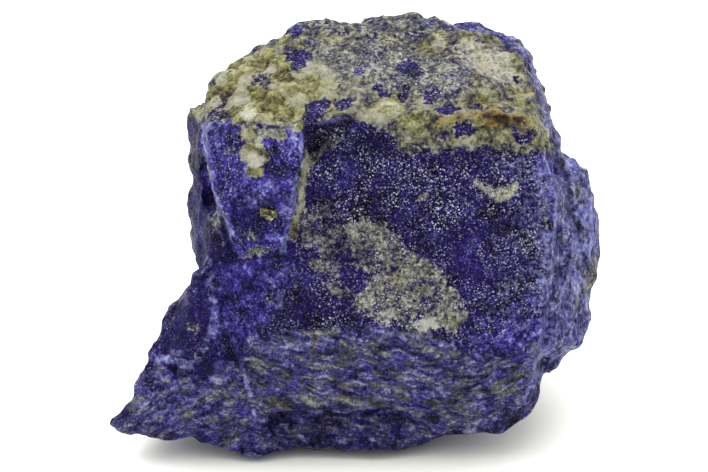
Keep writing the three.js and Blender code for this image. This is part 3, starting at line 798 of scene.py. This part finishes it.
def add_wear_highlight_and_shade(surface, marks):
    """Marks what stands proud of the finished surface as worn and pale, partly a painted highlight on its
    edges, and what lies low in it as dark with painted shade.
    """
    marks["wear_and_highlight"] = np.zeros(len(surface.points))
    for rounds, reach in PROUD_SCALES:
        outward = surface.points - surface.relaxed(surface.points, rounds)
        proud = (outward * surface.normals()).sum(1) / MM
        marks["wear_and_highlight"] = np.maximum(marks["wear_and_highlight"], smooth_step(proud, 0.25 * reach, 1.6 * reach))
        marks["dark"] = np.maximum(marks["dark"], smooth_step(-proud, 0.4 * reach, 2.2 * reach) * 0.8)


def speckled(tree, mark, grit, spread, low, high, most=1.0):
    """A mark's soft edge broken up by fine noise, as grains of one mineral stray into another."""
    source = node(tree, "Attribute", attribute_name=mark).outputs["Fac"]
    centred = node(tree, "Math", {0: grit, 1: 0.5}, operation="SUBTRACT").outputs[0]
    broken = node(tree, "Math", {0: centred, 1: spread, 2: source}, operation="MULTIPLY_ADD").outputs[0]
    edge = {"Value": broken, "From Min": low, "From Max": high, "To Max": most}
    return node(tree, "MapRange", edge, interpolation_type="SMOOTHSTEP").outputs[0]


def weighted(tree, start, *parts):
    """A number made of other numbers, each times its weight."""
    total = start
    for source, weight in parts:
        total = node(tree, "Math", {0: source, 1: weight, 2: total}, operation="MULTIPLY_ADD").outputs[0]
    return total


def stone_grains(tree, look):
    """The patterns that every mineral of the stone shares: its grains, painted glints, clumps and drawn-out
    folds.
    """
    place = node(tree, "TexCoord").outputs["Object"]
    flow = node(tree, "Attribute", attribute_name="layers").outputs["Vector"]
    grain = look.grain_width / MM
    grains = node(tree, "TexVoronoi", {"Vector": place, "Scale": per_mm(grain)})
    values = node(tree, "SeparateColor", {0: grains.outputs["Color"]})
    sparks = node(tree, "TexVoronoi", {"Vector": place, "Scale": per_mm(0.55 * grain)})
    spark = node(tree, "SeparateColor", {0: sparks.outputs["Color"]})
    flashes = node(tree, "TexVoronoi", {"Vector": place, "Scale": per_mm(0.68 * grain)})
    flash = node(tree, "SeparateColor", {0: flashes.outputs["Color"]})
    waves = {"fine": (0.45, 3.0), "crowd": (3.2, 3.0), "clump": (1.8, 4.0), "broad": (5.5, 2.0)}
    for name, (size, detail) in waves.items():
        wave = {"Vector": place, "Scale": per_mm(size), "Detail": detail, "Roughness": 0.62}
        waves[name] = node(tree, "TexNoise", wave).outputs["Fac"]
    drawn = {"Vector": flow, "Scale": 1.0, "Detail": 5.0, "Roughness": 0.66, "Distortion": 0.15}
    folds = node(tree, "SeparateColor", {0: node(tree, "TexNoise", drawn).outputs["Color"]})
    patches = node(tree, "TexNoise", {"Vector": place, "Scale": per_mm(1.3), "Detail": 4.0, "Roughness": 0.6})
    patch_values = node(tree, "SeparateColor", {0: patches.outputs["Color"]})

    # Painted glints, highlights painted into the colour: many and faint, or few and bright, crowding together
    # here and there.
    faint_painted_glints = node(tree, "Math", {0: spark.outputs[0], 1: 11.0}, operation="POWER").outputs[0]
    bright = node(tree, "Math", {0: flash.outputs[0], 1: 60.0}, operation="POWER").outputs[0]
    crowding = {"Value": waves["crowd"], "From Min": 0.34, "From Max": 0.66, "To Min": 0.16, "To Max": 1.0}
    crowd = node(tree, "MapRange", crowding, interpolation_type="SMOOTHSTEP").outputs[0]
    painted_glint_sum = node(tree, "Math", {0: faint_painted_glints, 1: bright}, operation="ADD").outputs[0]
    painted_glint_share = node(tree, "Attribute", attribute_name="painted_glint_share").outputs["Fac"]
    painted_glint_crowd = node(tree, "Math", {0: crowd, 1: painted_glint_share}, operation="MULTIPLY").outputs[0]
    return {
        **waves,
        "distance": grains.outputs["Distance"],
        "tone": values.outputs[1],
        "fold": folds.outputs[0],
        "seam": weighted(tree, 0.0, (folds.outputs[1], 0.7), (patch_values.outputs[1], 0.3)),
        "patch": weighted(tree, 0.0, (folds.outputs[2], 0.6), (patch_values.outputs[2], 0.4)),
        "painted_glint": node(tree, "Math", {0: painted_glint_sum, 1: painted_glint_crowd}, operation="MULTIPLY", use_clamp=True).outputs[0],
        "gloss": spark.outputs[1],
        "tilt": sparks.outputs["Color"],
    }


def lazurite_colour(tree, look, grains):
    """Lazurite: clouds of near black and deep blue, or brighter and in folds where it is bruised."""
    fine, clump, tone = grains["fine"], grains["clump"], grains["tone"]
    dark_tone = weighted(tree, -0.745, (clump, 1.00), (grains["broad"], 0.55), (fine, 0.60), (tone, 0.14))
    dark_stops = [
        (0.20, look.night),
        (0.36, between(look.night, look.deep, 0.7)),
        (0.53, look.deep),
        (0.68, between(look.deep, look.royal, 0.6)),
        (0.86, between(look.royal, look.powder, 0.3)),
        (1.00, look.powder),
    ]
    bright_tone = weighted(tree, -0.94, (grains["fold"], 0.95), (clump, 1.20), (fine, 0.45), (tone, 0.18))
    bright_stops = [
        (0.24, between(look.night, look.deep, 0.5)),
        (0.38, look.deep),
        (0.50, between(look.deep, look.royal, 0.7)),
        (0.60, look.royal),
        (0.74, between(look.royal, look.powder, 0.6)),
        (0.90, between(look.powder, look.frost_and_glint, 0.3)),
    ]
    dark = node(tree, "ValToRGB", {"Fac": dark_tone}, stops=dark_stops).outputs[0]
    bright = node(tree, "ValToRGB", {"Fac": bright_tone}, stops=bright_stops).outputs[0]
    share = speckled(tree, "violet", clump, 0.9, 0.2, 0.8)
    return node(tree, "Mix", {0: share, 6: dark, 7: bright}, data_type="RGBA").outputs[2]


def layered_colour(tree, look, grains):
    """The band: fine drawn-out layers from navy to dusty slate, with royal blue patches and khaki seams."""
    parts = (grains["fold"], 1.20), (grains["clump"], 0.25), (grains["fine"], 0.40), (grains["tone"], 0.18)
    tone = weighted(tree, -0.58, *parts)
    slate_stops = [
        (0.24, look.night),
        (0.38, between(look.deep, look.slate, 0.35)),
        (0.50, look.slate),
        (0.64, between(look.slate, look.frost_and_glint, 0.25)),
        (0.84, between(look.slate, look.frost_and_glint, 0.6)),
    ]
    royal_stops = [
        (0.28, look.night),
        (0.44, between(look.deep, look.royal, 0.5)),
        (0.60, shade(look.royal, 1.3)),
        (0.80, look.powder),
    ]
    khaki_stops = [
        (0.28, shade(look.khaki, 0.25)),
        (0.50, shade(look.khaki, 0.75)),
        (0.70, between(look.khaki, look.calcite_white, 0.45)),
    ]
    colour = node(tree, "ValToRGB", {"Fac": tone}, stops=slate_stops).outputs[0]
    for pattern, stops, most in (("patch", royal_stops, 0.8), ("seam", khaki_stops, 0.75)):
        edge = {"Value": grains[pattern], "From Min": 0.46, "From Max": 0.60, "To Max": most}
        share = node(tree, "MapRange", edge, interpolation_type="SMOOTHSTEP").outputs[0]
        paint = node(tree, "ValToRGB", {"Fac": tone}, stops=stops).outputs[0]
        colour = node(tree, "Mix", {0: share, 6: colour, 7: paint}, data_type="RGBA").outputs[2]
    return colour


def cream_colour(tree, look, grains):
    """Waxy calcite: cream lumps with brown between them, some of them glassy and grey."""
    lump = node(tree, "Attribute", attribute_name="lump").outputs["Fac"]
    own = node(tree, "Attribute", attribute_name="lump_own").outputs["Fac"]
    noises = (grains["fine"], 0.38), (grains["clump"], 0.60), (grains["tone"], 0.08)
    tone = weighted(tree, -0.26, *noises, (lump, 0.16), (own, 0.26))
    stops = [
        (0.22, look.rust_dark),
        (0.36, shade(look.calcite_cream, 0.35)),
        (0.50, shade(look.calcite_cream, 0.85)),
        (0.62, between(look.calcite_cream, look.calcite_white, 0.35)),
        (0.82, look.calcite_white),
    ]
    waxy = node(tree, "ValToRGB", {"Fac": tone}, stops=stops).outputs[0]
    glass = {"Value": own, "From Min": 0.60, "From Max": 0.75, "To Max": 0.55}
    glassy = node(tree, "MapRange", glass).outputs[0]
    dull = between(look.calcite_grey, look.calcite_white, 0.35)
    return node(tree, "Mix", {0: glassy, 6: waxy, 7: dull}, data_type="RGBA").outputs[2]


def calcite_colour(tree, look, grains):
    """Calcite: grey and granular, or waxy and cream, and white where cleanest."""
    tone = weighted(tree, -0.475, (grains["fine"], 0.85), (grains["clump"], 0.80), (grains["tone"], 0.20))
    stops = [
        (0.26, look.deep),
        (0.38, shade(look.calcite_grey, 0.35)),
        (0.52, look.calcite_grey),
        (0.66, between(look.calcite_grey, look.calcite_white, 0.4)),
        (0.86, look.calcite_white),
    ]
    colour = node(tree, "ValToRGB", {"Fac": tone}, stops=stops).outputs[0]
    layers = [
        (speckled(tree, "cream", grains["clump"], 1.2, 0.1, 0.9), cream_colour(tree, look, grains)),
        (speckled(tree, "white", grains["fine"], 1.0, 0.2, 0.9, most=0.7), look.calcite_white),
    ]
    for share, paint in layers:
        colour = node(tree, "Mix", {0: share, 6: colour, 7: paint}, data_type="RGBA").outputs[2]
    return colour


def bruise_colour(tree, look, grains):
    """Bruised ridges and dusty flanks: powder blue and fibrous."""
    tone = weighted(tree, -0.10, (grains["fine"], 0.60), (grains["fold"], 0.60))
    stops = [
        (0.30, shade(look.royal, 1.3)),
        (0.50, look.powder),
        (0.72, between(look.powder, look.frost_and_glint, 0.6)),
    ]
    return node(tree, "ValToRGB", {"Fac": tone}, stops=stops).outputs[0]


def rust_colour(tree, look, grains):
    """Iron stain, darkest in its middle."""
    mark = node(tree, "Attribute", attribute_name="rust").outputs["Fac"]
    tone = weighted(tree, 0.29, (grains["clump"], 0.6), (grains["fine"], 0.5), (mark, -0.45))
    stops = [
        (0.34, look.rust_dark),
        (0.50, look.rust),
        (0.66, between(look.rust, look.calcite_cream, 0.8)),
    ]
    return node(tree, "ValToRGB", {"Fac": tone}, stops=stops).outputs[0]


def grain_normal(tree, grains):
    """The surface's direction, rough with grains that each tilt their own way."""
    height = weighted(tree, grains["fine"], (grains["distance"], 0.5), (grains["clump"], 1.5))
    bump = node(tree, "Bump", {"Height": height, "Distance": 0.14 * MM, "Strength": 0.8}).outputs[0]
    tilt = node(tree, "VectorMath", {0: grains["tilt"], 1: (0.5, 0.5, 0.5)}, operation="SUBTRACT").outputs[0]
    tilt = node(tree, "VectorMath", {0: tilt, "Scale": 0.35}, operation="SCALE").outputs[0]
    tilted = node(tree, "VectorMath", {0: bump, 1: tilt}, operation="ADD").outputs[0]
    return node(tree, "VectorMath", {0: tilted}, operation="NORMALIZE").outputs[0]


def lapis_material(look):
    """Rough lapis lazuli: lazurite with painted glints, waxy and granular calcite, layered slate blue, and
    painted shade in its hollows.
    """
    material = bpy.data.materials.new("rough_lapis_lazuli")
    material.use_nodes = True
    tree = material.node_tree
    tree.nodes.clear()
    grains = stone_grains(tree, look)
    fine, clump = grains["fine"], grains["clump"]

    # From the bottom up. Sharp edges are worn as pale as the bruised ridges, and are partly painted pale as a
    # highlight.
    bruise = bruise_colour(tree, look, grains)
    layers = [
        (speckled(tree, "streak", clump, 1.4, 0.2, 0.8), layered_colour(tree, look, grains)),
        (speckled(tree, "haze", fine, 1.6, 0.12, 1.12, most=0.85), bruise),
        (speckled(tree, "wear_and_highlight", fine, 1.0, 0.3, 1.1, most=0.35), bruise),
        (speckled(tree, "calcite", fine, 1.5, 0.30, 0.68), calcite_colour(tree, look, grains)),
        (speckled(tree, "rust", fine, 1.4, 0.2, 0.8, most=0.85), rust_colour(tree, look, grains)),
    ]
    colour = lazurite_colour(tree, look, grains)
    for share, paint in layers:
        colour = node(tree, "Mix", {0: share, 6: colour, 7: paint}, data_type="RGBA").outputs[2]

    # Painted shade darkens hollows, cracks and low places, over the stone's own dark specks and the rust's
    # dark middle, and painted highlights flash on stray grains.
    pits_and_shade = speckled(tree, "dark", fine, 0.9, 0.15, 1.1, most=0.85)
    shaded = {0: pits_and_shade, 6: colour, 7: shade(look.deep, 2.2)}
    colour = node(tree, "Mix", shaded, data_type="RGBA", blend_type="MULTIPLY").outputs[2]
    painted_highlight = {0: grains["painted_glint"], 6: colour, 7: between(look.powder, look.frost_and_glint, 0.75)}
    colour = node(tree, "Mix", painted_highlight, data_type="RGBA").outputs[2]

    roughness = node(tree, "MapRange", {"Value": grains["gloss"], "To Min": 0.65, "To Max": 0.30}).outputs[0]
    normal = grain_normal(tree, grains)
    surface = {"Base Color": colour, "Roughness": roughness, "Normal": normal, "Specular IOR Level": 0.04}
    shader = node(tree, "BsdfPrincipled", surface).outputs[0]
    node(tree, "OutputMaterial", {0: shader})
    return material


def pyrite_material(look):
    """Pyrite: brassy metal, bright on fresh crystal faces and dull where tarnished."""
    material = bpy.data.materials.new("pyrite")
    material.use_nodes = True
    tree = material.node_tree
    tree.nodes.clear()
    place = node(tree, "TexCoord").outputs["Object"]
    cells = node(tree, "TexVoronoi", {"Vector": place, "Scale": per_mm(0.35)})
    value = node(tree, "SeparateColor", {0: cells.outputs["Color"]}).outputs[0]
    stops = [(0.2, look.tarnish), (0.7, look.brass)]
    colour = node(tree, "ValToRGB", {"Fac": value}, stops=stops).outputs[0]
    roughness = node(tree, "MapRange", {"Value": value, "To Min": 0.45, "To Max": 0.2}).outputs[0]
    surface = {"Base Color": colour, "Roughness": roughness, "Metallic": 1.0}
    shader = node(tree, "BsdfPrincipled", surface).outputs[0]
    node(tree, "OutputMaterial", {0: shader})
    return material


class LAPIS_OT_stone(bpy.types.Operator):
    """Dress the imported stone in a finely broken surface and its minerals"""

    bl_idname = "lapis.stone"
    bl_label = "Add stone"

    def execute(self, context):
        look = context.scene.lapis_stone
        stone = remeshed_stone(look.mesh_size)
        surface = Surface(stone.data)
        surface.points = surface.relaxed(surface.points, ROUNDS_OF_SMOOTHING)
        surface.store()
        facing = surface.relaxed(surface.normals(), ROUNDS_OF_FACING) @ FACE_Z
        at = Regions(surface.points, facing)
        marks = {name: mark(at) for name, mark in MARKS.items()}
        marks["lump"], marks["lump_own"] = calcite_lumps(at.place, marks["calcite"])
        height = relief(at.place, marks, craggy_mark(at), look)
        surface.points += surface.normals() * height[:, None]
        low, high = np.array(MODEL_BOX)
        surface.points = np.clip(surface.relaxed(surface.points, 1), low, high)
        surface.store()
        add_wear_highlight_and_shade(surface, marks)
        surface.mark_places("layers", layer_flow(on_face(surface.points)))
        for name, values in marks.items():
            surface.mark(name, values)
        stone.data.materials.append(lapis_material(look))
        stone.data.shade_smooth()
        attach(stone, "root")
        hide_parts(NODE)
        return {"FINISHED"}


def surface_place(stone, right, up):
    """Where the camera sees that place of the big face on the stone, and which way is out."""
    eye = FACE_MIDDLE + (Vector(FACE_X) * right + Vector(FACE_Y) * up + Vector(FACE_Z) * 40) * MM
    hit, place, outward, _ = stone.ray_cast(eye, -Vector(FACE_Z))
    if not hit:
        raise RuntimeError(f"nothing of the stone at {right}, {up}")
    return place, outward


class LAPIS_OT_pyrite(bpy.types.Operator):
    """Set the pyrite grains into the hollow of the stone"""

    bl_idname = "lapis.pyrite"
    bl_label = "Add pyrite"

    def execute(self, context):
        look = context.scene.lapis_pyrite
        stone = bpy.data.objects["lapis_stone"]
        crystals = bmesh.new()
        rng = np.random.default_rng(7)
        for right, up, width in PYRITE_GRAINS:
            place, outward = surface_place(stone, right, up)
            for _ in range(CUBES_IN_GRAIN):
                size = width * rng.uniform(*CUBE_SHARE) * MM
                angles = rng.uniform(0, math.pi, 3)
                turn = Matrix.Rotation(angles[0], 4, "X") @ Matrix.Rotation(angles[1], 4, "Y")
                offset = Vector(rng.normal(0, 1, 3)).normalized() * rng.uniform(0.1, 0.40) * width * MM
                offset -= outward * offset.dot(outward) * 0.4
                where = Matrix.Translation(place + offset + outward * 0.06 * width * MM)
                bmesh.ops.create_cube(crystals, size=size, matrix=where @ turn)
        edges = list(crystals.edges)
        bmesh.ops.bevel(crystals, geom=edges, offset=CUBE_BEVEL * MM, affect="EDGES", segments=1, profile=0.5)
        mesh = bpy.data.meshes.new("pyrite_grain")
        crystals.to_mesh(mesh)
        crystals.free()
        mesh.materials.append(pyrite_material(look))
        pyrite = bpy.data.objects.new("pyrite_grain", mesh)
        context.collection.objects.link(pyrite)
        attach(pyrite, "root")
        return {"FINISHED"}


def table_material():
    """White matt laminate, which the light nearly burns out."""
    material = bpy.data.materials.new("white_laminate")
    material.use_nodes = True
    shader = material.node_tree.nodes["Principled BSDF"]
    shader.inputs["Base Color"].default_value = (*linear("#fbfbf6"), 1)
    shader.inputs["Roughness"].default_value = 0.9
    shader.inputs["Specular IOR Level"].default_value = 0.0
    return material


def soft_box(strength):
    """A white room whose light comes mostly from overhead and a little behind."""
    world = bpy.data.worlds.new("soft_box")
    world.use_nodes = True
    tree = world.node_tree
    tree.nodes.clear()
    way = node(tree, "TexCoord").outputs["Generated"]
    height = node(tree, "VectorMath", {0: way, 1: ROOM_WAY}, operation="DOT_PRODUCT").outputs["Value"]
    dimmest, brightest = 0.30 * strength, 1.9 * strength
    level = {"Value": height, "From Min": -0.1, "From Max": 0.9, "To Min": dimmest, "To Max": brightest}
    light = node(tree, "MapRange", level, interpolation_type="SMOOTHSTEP").outputs[0]
    sky = node(tree, "Background", {"Color": (1.0, 1.0, 0.96), "Strength": light}).outputs[0]
    node(tree, "OutputWorld", {0: sky})
    return world


class LAPIS_OT_stage(bpy.types.Operator):
    """Lay the white table and set the light and the camera"""

    bl_idname = "lapis.stage"
    bl_label = "Add stage"

    def execute(self, context):
        stage = context.scene.lapis_stage
        top = bmesh.new()
        bmesh.ops.create_grid(top, x_segments=1, y_segments=1, size=stage.table_width / 2)
        mesh = bpy.data.meshes.new("table")
        top.to_mesh(mesh)
        top.free()
        mesh.materials.append(table_material())
        table = bpy.data.objects.new("table", mesh)
        context.collection.objects.link(table)

        context.scene.world = soft_box(stage.sky)

        lamp = bpy.data.objects.new("soft_lamp", bpy.data.lights.new("soft_lamp", "SUN"))
        lamp.data.energy = stage.sun
        lamp.data.angle = LAMP_SPREAD
        lamp.rotation_euler = LAMP_WAY.to_track_quat("Z", "Y").to_euler()
        context.collection.objects.link(lamp)

        camera = bpy.data.objects.new("camera", bpy.data.cameras.new("camera"))
        camera.data.sensor_width = SENSOR_WIDTH
        camera.data.lens = SENSOR_WIDTH * CAMERA_DISTANCE / PICTURE_WIDTH
        camera.data.clip_end = CAMERA_REACH
        camera.location = FACE_MIDDLE + Vector(FACE_Z) * CAMERA_DISTANCE
        camera.rotation_euler = (math.pi / 2 - LEAN_BACK, 0, 0)
        context.collection.objects.link(camera)
        context.scene.camera = camera
        context.scene.view_settings.view_transform = "Standard"
        return {"FINISHED"}


class LAPIS_PT_panel(bpy.types.Panel):
    """The steps of the lapis lump, in order"""

    bl_idname = "LAPIS_PT_panel"
    bl_label = "Lapis lazuli"
    bl_space_type = "VIEW_3D"
    bl_region_type = "UI"
    bl_category = "Lapis"

    def draw(self, context):
        for group, step in SECTIONS:
            box = self.layout.box()
            box.operator(step)
            settings = getattr(context.scene, group)
            for name in settings.bl_rna.properties.keys():
                if name not in ("rna_type", "name"):
                    box.prop(settings, name)


SECTIONS = [("lapis_stone", "lapis.stone"), ("lapis_pyrite", "lapis.pyrite"), ("lapis_stage", "lapis.stage")]
GROUPS = {
    "lapis_stone": LapisStoneSettings,
    "lapis_pyrite": LapisPyriteSettings,
    "lapis_stage": LapisStageSettings,
}
CLASSES = [*GROUPS.values(), LAPIS_OT_stone, LAPIS_OT_pyrite, LAPIS_OT_stage, LAPIS_PT_panel]


def register():
    """Makes the settings, operators and panel known to Blender."""
    for cls in CLASSES:
        bpy.utils.register_class(cls)
    for name, group in GROUPS.items():
        setattr(bpy.types.Scene, name, bpy.props.PointerProperty(type=group))


def unregister():
    """Takes them away again."""
    for name in GROUPS:
        delattr(bpy.types.Scene, name)
    for cls in reversed(CLASSES):
        bpy.utils.unregister_class(cls)


def main():
    """Builds the lump and its stage."""
    register()
    bpy.ops.lapis.stone()
    bpy.ops.lapis.pyrite()
    bpy.ops.lapis.stage()


if __name__ == "__main__":
    main()
